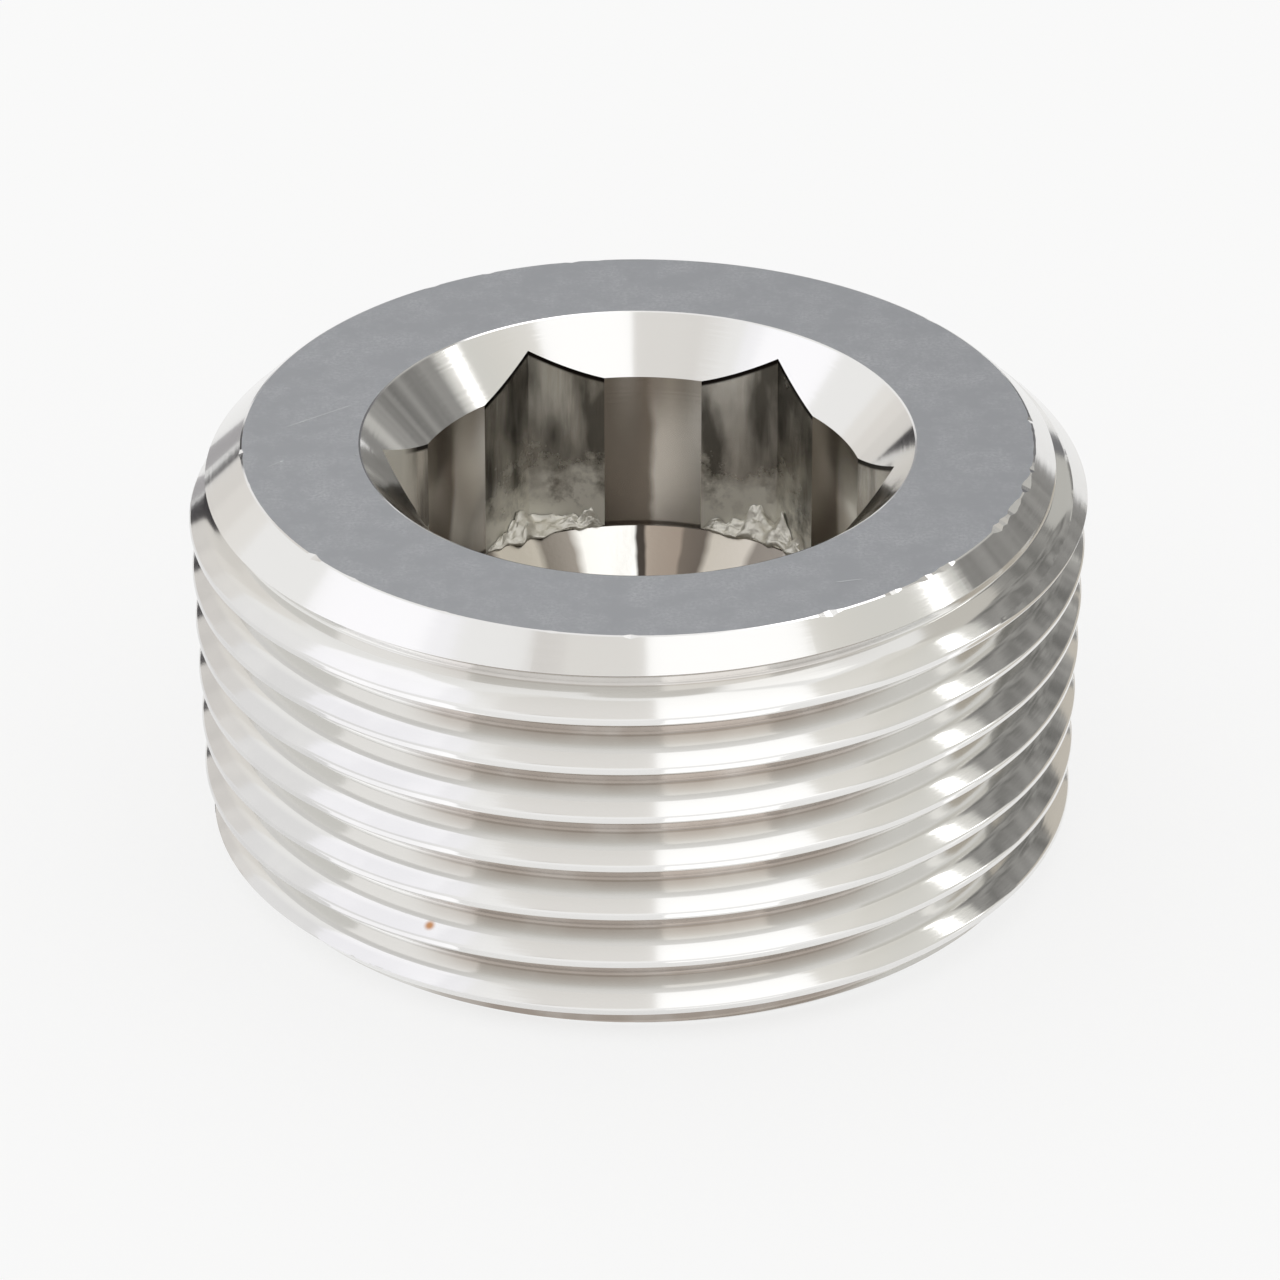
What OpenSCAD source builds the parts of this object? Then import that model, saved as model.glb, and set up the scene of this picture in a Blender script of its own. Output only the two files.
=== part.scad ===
// Taper plug: a hexagon socket plug with a tapered metric thread, turned and broached from one bar.
// It stands on its small end, with the axis along Z and the small end's face at Z = 0.

/* [Thread] */
// Major diameter where the thread's cone meets the plane of the large end's face
major_d = 24.5; // [22:0.5:30]
// Distance along the axis from one crest to the next
pitch = 1.5; // [1:0.25:1.75]
// Length along the axis in which the diameter grows by one millimetre
taper_length = 16; // [12:1:32]
// Angle between the two flanks of the thread
flank_angle = 60; // [55:1:60]
// Angle around the axis at which a crest rises out of the small end's plane
thread_start = 42; // [0:1:359]

/* [Body] */
// Length from the small end's face to the large end's face
body_length = 11.7; // [10.5:0.1:16]
// Width of the chamfer round the large end, at 45 degrees
large_chamfer = 1.55; // [1.2:0.05:2]
// Width of the chamfer round the small end, at 45 degrees
small_chamfer = 1; // [0.8:0.05:1.5]

/* [Socket] */
// Size of the hexagon key, measured across its flats
key_size = 12; // [8:0.5:14]
// Depth to which the hexagon is broached, from the large end's face
key_depth = 6; // [4:0.25:7]
// Angle around the axis of one corner of the hexagon
key_corner_angle = 56; // [0:1:59]
// How much wider the pilot hole is than the key
pilot_allowance = 0.3; // [0.1:0.05:0.5]
// How far the pilot hole runs on past the end of the hexagon
pilot_overrun = 1.5; // [0.5:0.25:2]
// Angle of the drill point that ends the pilot hole
drill_point_angle = 140; // [130:5:150]
// How far the countersink's rim lies outside the hexagon's corners
sink_margin = 0.57; // [0.3:0.01:1]
// Angle of the countersink, measured across its cone
sink_angle = 90; // [90:5:120]

/* [Hidden] */

// Facets of the round faces, and steps of the thread in one turn
round_facets = 96;
thread_steps = 64;

// The metric profile: a sharp V, with an eighth of the pitch left flat on the crest
sharp_height = pitch / 2 / tan(flank_angle / 2);
crest_flat = pitch / 8;
thread_depth = sharp_height * 17 / 24;
root_flat = pitch - crest_flat - 2 * thread_depth * tan(flank_angle / 2);

// The four knots of one pitch: both edges of a crest, then both edges of a root
knot_lift = [-crest_flat / 2, crest_flat / 2, (pitch - root_flat) / 2, (pitch + root_flat) / 2];
knot_inset = [0, 0, thread_depth, thread_depth];
knots = len(knot_lift);

// The threaded bar is longer than the plug, which is cut out of it
bar_turns = ceil(body_length / pitch) + 3;
bar_top_knot = bar_turns * knots;
bar_overlap = 3 * pitch;

// The socket's own diameters and depths
key_across_corners = key_size / cos(30);
pilot_d = key_size + pilot_allowance;
pilot_depth = key_depth + pilot_overrun;
drill_point_depth = pilot_d / 2 / tan(drill_point_angle / 2);
sink_d = key_across_corners + 2 * sink_margin;
sink_depth = sink_d / 2 / tan(sink_angle / 2);
cut_over = 1;

// Radius of the thread's crests at a height above the small end's face
function crest_r(z) = (major_d - (body_length - z) / taper_length) / 2;

// Height of one knot of the thread's profile, at a step round its turn
function knot_z(knot, step) =
    (floor(knot / knots) + step / thread_steps - 2) * pitch + knot_lift[knot % knots];

// One knot as a point, on the crests' cone or down at the root
function knot_point(knot, step) =
    let (
        a = 360 * step / thread_steps + thread_start,
        z = knot_z(knot, step),
        r = crest_r(z) - knot_inset[knot % knots]
    )
    [r * cos(a), r * sin(a), z];

// Place of a knot in the bar's list of points, where a whole turn of steps comes back one pitch higher
function knot_index(knot, step) =
    step < thread_steps
        ? step * (bar_top_knot + 1) + knot
        : knot_index(knot + knots, step - thread_steps);

// Triangles from a rim of points to one apex, turned over where the apex is above the rim
function fan(apex, rim, over) = [
    for (i = [0 : len(rim) - 1])
        let (next = rim[(i + 1) % len(rim)])
        over ? [apex, next, rim[i]] : [apex, rim[i], next]
];

// A tapered bar with the thread all along it: columns of knots round the axis, closed by a fan at each end
module threaded_bar() {
    last_step = thread_steps - 1;
    columns = [for (step = [0 : last_step], knot = [0 : bar_top_knot]) knot_point(knot, step)];
    foot = len(columns);
    head = foot + 1;
    walls = [
        for (step = [0 : last_step], knot = [0 : bar_top_knot - 1 - (step == last_step ? knots : 0)])
            let (
                low = knot_index(knot, step),
                high = knot_index(knot + 1, step),
                next_low = knot_index(knot, step + 1),
                next_high = knot_index(knot + 1, step + 1)
            )
            each [[low, high, next_high], [low, next_high, next_low]]
    ];
    foot_rim = concat(
        [for (step = [0 : last_step]) knot_index(0, step)],
        [for (knot = [knots : -1 : 1]) knot_index(knot, 0)]
    );
    head_rim = concat(
        [for (step = [0 : last_step]) knot_index(bar_top_knot, step)],
        [for (down = [1 : knots]) knot_index(bar_top_knot - down, last_step)]
    );
    polyhedron(
        points = concat(columns, [[0, 0, -bar_overlap], [0, 0, body_length + bar_overlap]]),
        faces = concat(walls, fan(foot, foot_rim, false), fan(head, head_rim, true)),
        convexity = 20
    );
}

// What turning leaves of the bar: both faces and both chamfers, clear of the thread between them
module turned_outline() {
    small_face_r = crest_r(0) - small_chamfer;
    large_face_r = crest_r(body_length) - large_chamfer;
    clear_r = crest_r(body_length) + cut_over;
    rotate_extrude($fn = round_facets)
        polygon([
            [0, 0],
            [small_face_r, 0],
            [clear_r, clear_r - small_face_r],
            [clear_r, body_length - (clear_r - large_face_r)],
            [large_face_r, body_length],
            [0, body_length]
        ]);
}

// The broached hexagon, from above the large face down to the end of the broach
module hexagon() {
    translate([0, 0, body_length - key_depth])
        rotate([0, 0, key_corner_angle])
            cylinder(h = key_depth + cut_over, d = key_across_corners, $fn = 6);
}

// The hole drilled before broaching, with its drill point
module pilot_hole() {
    floor_z = body_length - pilot_depth;
    rotate_extrude($fn = round_facets)
        polygon([
            [0, floor_z - drill_point_depth],
            [pilot_d / 2, floor_z],
            [pilot_d / 2, body_length + cut_over],
            [0, body_length + cut_over]
        ]);
}

// The countersink that leads the key in
module countersink() {
    rim_r = sink_d / 2 + cut_over * tan(sink_angle / 2);
    rotate_extrude($fn = round_facets)
        polygon([
            [0, body_length - sink_depth],
            [rim_r, body_length + cut_over],
            [0, body_length + cut_over]
        ]);
}

// The plug: a threaded and chamfered bar with a countersunk hexagon socket over a blind pilot hole
module plug_body() {
    color("silver")
        difference() {
            intersection() {
                threaded_bar();
                turned_outline();
            }
            pilot_hole();
            hexagon();
            countersink();
        }
}

plug_body();
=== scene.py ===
"""The looks of the taper plug: a finely modelled body with its finishes, and a plain studio round it."""

import logging
import math
from collections.abc import Callable, Sequence
from dataclasses import dataclass, field
from enum import Enum

import bpy
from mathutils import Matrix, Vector, noise

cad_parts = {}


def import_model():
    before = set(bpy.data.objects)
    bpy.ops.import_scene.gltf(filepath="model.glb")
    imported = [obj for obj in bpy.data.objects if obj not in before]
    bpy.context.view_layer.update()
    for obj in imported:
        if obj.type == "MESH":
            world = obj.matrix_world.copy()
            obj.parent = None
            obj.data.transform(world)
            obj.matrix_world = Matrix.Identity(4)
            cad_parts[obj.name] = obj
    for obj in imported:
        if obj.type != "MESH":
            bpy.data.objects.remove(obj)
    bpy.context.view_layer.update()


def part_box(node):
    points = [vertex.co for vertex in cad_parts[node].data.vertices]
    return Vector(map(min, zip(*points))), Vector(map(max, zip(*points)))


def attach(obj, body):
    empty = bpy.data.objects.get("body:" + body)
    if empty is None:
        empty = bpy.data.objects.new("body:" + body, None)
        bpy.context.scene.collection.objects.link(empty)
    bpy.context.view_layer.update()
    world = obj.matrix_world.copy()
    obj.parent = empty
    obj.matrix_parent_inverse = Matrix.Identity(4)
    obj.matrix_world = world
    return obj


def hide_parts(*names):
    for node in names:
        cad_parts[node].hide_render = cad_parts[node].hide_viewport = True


LOG = logging.getLogger("taper_plug")
MM = 0.001
# Turns the spread of an anisotropic reflection across the marks, which run round the axis
QUARTER_TURN = 0.25
# Steps across a studio card each way, and the clouds on a card across its distance from the plug
CARD_STEPS = 24
CARD_CLOUDS = 20.0

Point = tuple[float, float, float]
Colour = tuple[float, float, float, float]
Socket = bpy.types.NodeSocket
Inputs = dict[str | int, object]
Ramp = tuple[Socket, float, float, float, float]


class Surface(Enum):
    """The plug's surfaces, in the order of its material slots."""

    THREAD = 0
    SMALL_FACE = 1
    SMALL_CHAMFER = 2
    LARGE_CHAMFER = 3
    LARGE_FACE = 4
    RIM = 5
    COUNTERSINK = 6
    HEXAGON_WALL = 7
    HEXAGON_LEDGE = 8
    PILOT_WALL = 9
    DRILL_POINT = 10


def linear_colour(hex_code: str) -> Colour:
    """Turn an sRGB hex code into a linear colour.

    Args:
        hex_code: Six hex digits after a number sign.

    Returns:
        The linear red, green, blue and an alpha of 1.
    """
    values = [int(hex_code[i : i + 2], 16) / 255 for i in (1, 3, 5)]
    red, green, blue = (v / 12.92 if v <= 0.04045 else ((v + 0.055) / 1.055) ** 2.4 for v in values)
    return red, green, blue, 1.0


def add_node(
    tree: bpy.types.NodeTree,
    kind: str,
    inputs: Inputs | None = None,
    output: str | int = 0,
    **settings: object,
) -> Socket | None:
    """Add a node to a tree with its settings, its socket values and its links.

    Args:
        tree: The node tree that gets the node.
        kind: Blender's name for the kind of node, without the ShaderNode that it starts with.
        inputs: Input sockets by name or place, each with a value or the output socket that feeds it.
        output: The output that is wanted, by name or place.
        settings: The node's own properties and their values.

    Returns:
        That output's socket, or nothing for a node without outputs.
    """
    node = tree.nodes.new("ShaderNode" + kind)
    for name, value in settings.items():
        setattr(node, name, value)
    for name, value in (inputs or {}).items():
        if isinstance(value, Socket):
            tree.links.new(value, node.inputs[name])
        else:
            node.inputs[name].default_value = value
    return node.outputs[output] if len(node.outputs) else None


def fresh_tree(owner: bpy.types.Material | bpy.types.World) -> bpy.types.NodeTree:
    """Give a material or a world an empty node tree.

    Args:
        owner: The material or the world.

    Returns:
        Its tree, with no node in it.
    """
    owner.use_nodes = True
    owner.node_tree.nodes.clear()
    return owner.node_tree


def seen_share(tree: bpy.types.NodeTree) -> Socket:
    """Tell the rays of the camera and of the steel's reflections, which are 1, from all others.

    Args:
        tree: The node tree of a material or of the world.

    Returns:
        The socket that holds 1 or 0.
    """
    camera = add_node(tree, "LightPath", output="Is Camera Ray")
    glossy = add_node(tree, "LightPath", output="Is Glossy Ray")
    return add_node(tree, "Math", {0: camera, 1: glossy}, operation="MAXIMUM")


def add_object(name: str, data: bpy.types.ID) -> bpy.types.Object:
    """Put a mesh or a camera into the scene as a new object.

    Args:
        name: Name of the object.
        data: The mesh or the camera.

    Returns:
        The object.
    """
    thing = bpy.data.objects.new(name, data)
    bpy.context.scene.collection.objects.link(thing)
    return thing


def grey(level: float) -> Colour:
    """A neutral colour of one linear level."""
    return level, level, level, 1.0


@dataclass(frozen=True)
class PlugSizes:
    """The plug's sizes in millimetres and degrees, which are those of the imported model.

    Attributes:
        body_length: Height of the plug, read from the frame.
        major_d: The first of the sizes that repeat the source's own, as far as sink_margin.
        rim_round: Width of the broken edges of the rims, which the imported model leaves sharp.
        crest_wear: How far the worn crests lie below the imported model's.
    """

    body_length: float
    major_d: float = 24.5
    pitch: float = 1.5
    taper_length: float = 16.0
    thread_start: float = 42.0
    large_chamfer: float = 1.55
    small_chamfer: float = 1.0
    key_size: float = 12.0
    key_depth: float = 6.0
    key_corner_angle: float = 56.0
    pilot_d: float = 12.3
    pilot_overrun: float = 1.5
    drill_point_angle: float = 140.0
    sink_margin: float = 0.57
    rim_round: float = 0.06
    crest_wear: float = 0.045

    @classmethod
    def from_frame(cls, node: str) -> "PlugSizes":
        """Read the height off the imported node.

        Args:
            node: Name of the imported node.

        Returns:
            The sizes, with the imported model's own height.
        """
        low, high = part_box(node)
        return cls(body_length=(high.z - low.z) / MM)

    def crest_r(self, z: float) -> float:
        """Radius of the worn crests at a height."""
        return (self.major_d - (self.body_length - z) / self.taper_length) / 2 - self.crest_wear

    @property
    def small_face_r(self) -> float:
        """Radius of the small end's flat face."""
        return (self.major_d - self.body_length / self.taper_length) / 2 - self.small_chamfer

    @property
    def large_face_r(self) -> float:
        """Radius of the large end's flat face."""
        return self.major_d / 2 - self.large_chamfer

    @property
    def key_corner_r(self) -> float:
        """Distance of the hexagon's corners from the axis."""
        return self.key_size / 2 / math.cos(math.radians(30))

    @property
    def sink_r(self) -> float:
        """Radius of the countersink's rim."""
        return self.key_corner_r + self.sink_margin

    @property
    def key_floor_z(self) -> float:
        """Height at which the broached hexagon ends."""
        return self.body_length - self.key_depth

    @property
    def pilot_floor_z(self) -> float:
        """Height at which the pilot hole's wall ends and its drill point starts."""
        return self.key_floor_z - self.pilot_overrun

    @property
    def drill_tip_z(self) -> float:
        """Height of the drill point's tip."""
        half_angle = math.radians(self.drill_point_angle / 2)
        return self.pilot_floor_z - self.pilot_d / 2 / math.tan(half_angle)


@dataclass(frozen=True)
class ThreadForm:
    """The metric thread profile, with the rounded edges that a die or an insert leaves.

    Attributes:
        pitch: Distance from crest to crest in millimetres.
        crest_round: Radius of the crest's two edges.
        root_round: Radius of the root's two corners.
        arc_steps: Steps in each rounded corner.
        flank_steps: Steps down each flank.
        crown_deg: How far a flank's normals lean out near its crest, as on a worn thread, which the eye
            sees only in reflections.
        crown_fall: How much of the lean is lost from the crest to the root.
        crown_end: Share of the depth at which the lean is gone.
        crown_edge: How fast it goes there.
    """

    pitch: float
    crest_round: float = 0.1
    root_round: float = 0.1
    arc_steps: int = 3
    flank_steps: int = 10
    crown_deg: float = 11.3
    crown_fall: float = 0.2
    crown_end: float = 0.66
    crown_edge: float = 4.5

    @property
    def depth(self) -> float:
        """Depth of the thread: seventeen twenty-fourths of the sharp V's height."""
        return self.pitch * math.sqrt(3) / 2 * 17 / 24

    @property
    def half_crest(self) -> float:
        """Half the width of the crest's flat, before rounding."""
        return self.pitch / 16

    @property
    def root_corner(self) -> float:
        """Distance along the axis from a crest's middle to the corner of a root, before rounding."""
        return self.half_crest + self.depth / math.sqrt(3)

    def stops(self) -> tuple[float, float, float, float]:
        """Where each rounded corner starts and ends, along the axis from a crest's middle.

        Returns:
            The crest's start and end, then the root's, in millimetres.
        """
        crest_tangent = self.crest_round * math.tan(math.radians(30))
        root_tangent = self.root_round * math.tan(math.radians(30))
        return (
            self.half_crest - crest_tangent,
            self.half_crest + crest_tangent / 2,
            self.root_corner - root_tangent / 2,
            self.root_corner + root_tangent,
        )

    def inset(self, offset: float) -> tuple[float, float]:
        """How far the surface lies below the crests, and how fast that grows.

        Args:
            offset: Distance along the axis from the middle of the nearest crest.

        Returns:
            The inset in millimetres, and its slope along the axis.
        """
        side = 1.0 if offset >= 0 else -1.0
        u = abs(offset)
        flat_end, flank_start, flank_end, root_start = self.stops()
        if u <= flat_end:
            return 0.0, 0.0
        if u <= flank_start:
            run = u - flat_end
            drop = math.sqrt(self.crest_round**2 - run**2)
            steepest = math.tan(math.radians(60 - self.crown_deg))
            return self.crest_round - drop, side * min(run / drop, steepest)
        if u <= flank_end:
            depth = (u - self.half_crest) * math.sqrt(3)
            share = depth / self.depth
            crown = max(0.0, min(1 - self.crown_fall * share, self.crown_edge * (self.crown_end - share)))
            return depth, side * math.tan(math.radians(60 - self.crown_deg * crown))
        if u <= root_start:
            run = root_start - u
            drop = math.sqrt(self.root_round**2 - run**2)
            return self.depth - self.root_round + drop, side * run / drop
        return self.depth, 0.0

    def knots(self) -> list[float]:
        """Heights of one pitch's knots, from the middle of a crest up to just under the next one.

        Returns:
            The heights in order, in millimetres.
        """
        flat_end, flank_start, flank_end, root_start = self.stops()
        rising = [0.0, flat_end]
        rising += spread(flat_end, flank_start, self.arc_steps)
        rising += spread(flank_start, flank_end, self.flank_steps)
        rising += spread(flank_end, root_start, self.arc_steps)
        falling = [self.pitch - u for u in reversed(rising) if u > 0]
        return rising + falling


def spread(start: float, end: float, steps: int) -> list[float]:
    """Evenly spaced values from just after a start up to an end.

    Args:
        start: The value before the first one.
        end: The last value.
        steps: How many values.

    Returns:
        The values in order.
    """
    return [start + (end - start) * i / steps for i in range(1, steps + 1)]


Profile = Sequence[tuple[float, float, Surface]]


@dataclass
class Mesh:
    """Points in millimetres and faces with their surfaces, on the way to a Blender mesh."""

    points: list[Point] = field(default_factory=list)
    faces: list[tuple[int, ...]] = field(default_factory=list)
    surfaces: list[Surface] = field(default_factory=list)

    def add_face(self, corners: Sequence[int], surface: Surface) -> None:
        """Add one face.

        Args:
            corners: Places of its corners in the list of points.
            surface: The surface that the face belongs to.
        """
        self.faces.append(tuple(corners))
        self.surfaces.append(surface)

    def to_object(self, name: str, materials: Sequence[bpy.types.Material]) -> bpy.types.Object:
        """Make a Blender object of it, in metres.

        Args:
            name: Name of the object.
            materials: One material for each surface, in the order of Surface.

        Returns:
            The object, linked to the scene.
        """
        data = bpy.data.meshes.new(name)
        data.from_pydata([(x * MM, y * MM, z * MM) for x, y, z in self.points], [], self.faces)
        for material in materials:
            data.materials.append(material)
        data.polygons.foreach_set("material_index", [s.value for s in self.surfaces])
        data.update()
        return add_object(name, data)


def revolve(profile_at: Callable[[float], Profile], columns: int) -> Mesh:
    """Turn a profile round the Z axis into a closed solid.

    Args:
        profile_at: Gives the profile at an angle round the axis: radius, height and surface of each point
            from the bottom up, where the surface is that of the step to the next point. The first and last
            points lie on the axis, and every angle has as many points.
        columns: Steps round the axis.

    Returns:
        The solid, with its faces turned outwards.
    """
    solid = Mesh()
    profile = profile_at(0.0)
    rings = profile[1:-1]
    for column in range(columns):
        angle = 2 * math.pi * column / columns
        ring = profile_at(angle)[1:-1]
        solid.points += [(r * math.cos(angle), r * math.sin(angle), z) for r, z, _ in ring]
    foot = len(solid.points)
    solid.points += [(0.0, 0.0, profile[0][1]), (0.0, 0.0, profile[-1][1])]
    height = len(rings)
    for column in range(columns):
        here, there = column * height, (column + 1) % columns * height
        solid.add_face((foot, there, here), profile[0][2])
        for row in range(height - 1):
            solid.add_face((here + row, there + row, there + row + 1, here + row + 1), rings[row][2])
        solid.add_face((here + height - 1, there + height - 1, foot + 1), rings[-1][2])
    return solid


def combine(target: bpy.types.Object, tool: bpy.types.Object, operation: str) -> None:
    """Cut or intersect one object with another, and delete the tool.

    Args:
        target: The object that stays.
        tool: The object that is used up.
        operation: Blender's name for the operation.
    """
    modifier = target.modifiers.new("cut", "BOOLEAN")
    modifier.solver = "EXACT"
    modifier.operation = operation
    modifier.object = tool
    modifier.material_mode = "INDEX"
    depsgraph = bpy.context.evaluated_depsgraph_get()
    result = bpy.data.meshes.new_from_object(target.evaluated_get(depsgraph))
    target.modifiers.clear()
    old_mesh, tool_mesh = target.data, tool.data
    target.data = result
    bpy.data.objects.remove(tool)
    for mesh in (old_mesh, tool_mesh):
        bpy.data.meshes.remove(mesh)


@dataclass(frozen=True)
class Canvas:
    """A material's node tree, and the point on the piece that it paints.

    Attributes:
        tree: The node tree.
        place: The point, in metres in the plug's own frame.
    """

    tree: bpy.types.NodeTree
    place: Socket

    def add(
        self, kind: str, inputs: Inputs | None = None, output: str | int = 0, **settings: object
    ) -> Socket:
        """Add a node to the canvas's tree, as add_node does."""
        return add_node(self.tree, kind, inputs, output, **settings)

    def along(self, axis: str) -> Socket:
        """The point's place along X, Y or Z, in metres."""
        return self.add("SeparateXYZ", {"Vector": self.place}, axis)

    def outward(self) -> Socket:
        """The way from the plug's axis to the point."""
        return self.add("VectorMath", {0: self.place, 1: (1.0, 1.0, 0.0)}, operation="MULTIPLY")

    def radius(self) -> Socket:
        """The point's distance from the plug's axis, in metres."""
        return self.add("VectorMath", {0: self.outward()}, "Value", operation="LENGTH")

    def wavering_angle(self, wave_mm: float, detail: float, sway_deg: float) -> Socket:
        """The point's angle round the plug's axis, in radians, made to waver.

        Args:
            wave_mm: Length of the waves.
            detail: How many finer waves lie on them.
            sway_deg: How far they reach.

        Returns:
            The socket that holds the angle.
        """
        angle = self.add("Math", {0: self.along("Y"), 1: self.along("X")}, operation="ARCTAN2")
        waves = self.add("TexNoise", {"Vector": self.place, "Scale": 1 / (wave_mm * MM), "Detail": detail})
        return self.add("Math", {0: waves, 1: math.radians(sway_deg), 2: angle}, operation="MULTIPLY_ADD")

    def overlap(self, ramps: Sequence[Ramp]) -> Socket:
        """Multiply several shares, each read off a smooth ramp.

        Args:
            ramps: For each share its source, where its ramp starts and ends, and the share at both.

        Returns:
            The socket that holds the product.
        """
        product = None
        for source, low, high, at_low, at_high in ramps:
            inputs = {0: source, 1: low, 2: high, 3: at_low, 4: at_high}
            share = self.add("MapRange", inputs, interpolation_type="SMOOTHSTEP")
            if product is not None:
                share = self.add("Math", {0: product, 1: share}, operation="MULTIPLY")
            product = share
        return product

    def cover(self, tone: Colour | Socket, layers: Sequence[tuple[Socket, str]]) -> Socket:
        """Lay colours over a tone, one after the other.

        Args:
            tone: What lies under them.
            layers: For each layer how much of it shows, and its sRGB hex code.

        Returns:
            The socket that holds the colour.
        """
        for share, colour in layers:
            tone = self.add("Mix", {0: share, 6: tone, 7: linear_colour(colour)}, 2, data_type="RGBA")
        return tone


@dataclass(frozen=True)
class SteelFinish:
    """Stainless steel with one way of being worked: an even grain, as on torn steel.

    Real marks are finer than a pixel of the photograph. All are drawn a few times coarser than that, so
    that the eye still sees which way the steel was worked.

    Attributes:
        name: Name of the material.
        colour: sRGB hex code of the steel's own reflection.
        roughness: Mean roughness.
        mark_mm: Distance between the marks of the tool or the grit.
        mark_depth_mm: Height of those marks.
        anisotropy: How much more the reflection spreads across the marks than along them.
        wave_mm: Length of the slow waves that carry the marks.
        wave_height: How many times higher the waves are than the marks.
        wave_detail: How many finer waves lie on them.
    """

    name: str
    colour: str
    roughness: float
    mark_mm: float
    mark_depth_mm: float
    anisotropy: float = 0.0
    wave_mm: float = 1.429
    wave_height: float = 0.0
    wave_detail: float = 2.0

    @property
    def mark_scale(self) -> float:
        """Marks in one metre."""
        return 1 / (self.mark_mm * MM)

    def material(self) -> bpy.types.Material:
        """Build the material: the steel, with its marks as bump.

        Returns:
            The material.
        """
        material = bpy.data.materials.new(self.name)
        tree = fresh_tree(material)
        canvas = Canvas(tree, add_node(tree, "TexCoord", output="Object"))
        relief = {"Strength": 1.0, "Distance": self.mark_depth_mm * MM, "Height": self.marks(canvas)}
        inputs = {
            "Base Color": self.tone(canvas),
            "Metallic": 1.0,
            "Roughness": self.dullness(canvas),
            "Anisotropic": self.anisotropy,
            "Anisotropic Rotation": QUARTER_TURN,
            "Normal": canvas.add("Bump", relief),
        }
        if self.anisotropy:
            inputs["Tangent"] = canvas.add("Tangent", direction_type="RADIAL", axis="Z")
        canvas.add("OutputMaterial", {"Surface": canvas.add("BsdfPrincipled", inputs)})
        return material

    def tone(self, canvas: Canvas) -> Colour | Socket:
        """Give the steel's colour, which is the same all over."""
        return linear_colour(self.colour)

    def dullness(self, canvas: Canvas) -> float | Socket:
        """Give the roughness, which is the same all over."""
        return self.roughness

    def marks(self, canvas: Canvas) -> Socket:
        """Draw the height of the marks and of the waves that carry them.

        Args:
            canvas: The material's canvas.

        Returns:
            The socket that holds the height, in heights of a mark.
        """
        fine = self.fine_marks(canvas)
        if not self.wave_height:
            return fine
        inputs = {"Vector": canvas.place, "Scale": 1 / (self.wave_mm * MM), "Detail": self.wave_detail}
        waves = canvas.add("TexNoise", inputs)
        return canvas.add("Math", {0: waves, 1: self.wave_height, 2: fine}, operation="MULTIPLY_ADD")

    def fine_marks(self, canvas: Canvas) -> Socket:
        """Draw the height of the marks, from 0 to 1, as an even grain."""
        return canvas.add("TexNoise", {"Vector": canvas.place, "Scale": self.mark_scale, "Detail": 2.0})


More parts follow.
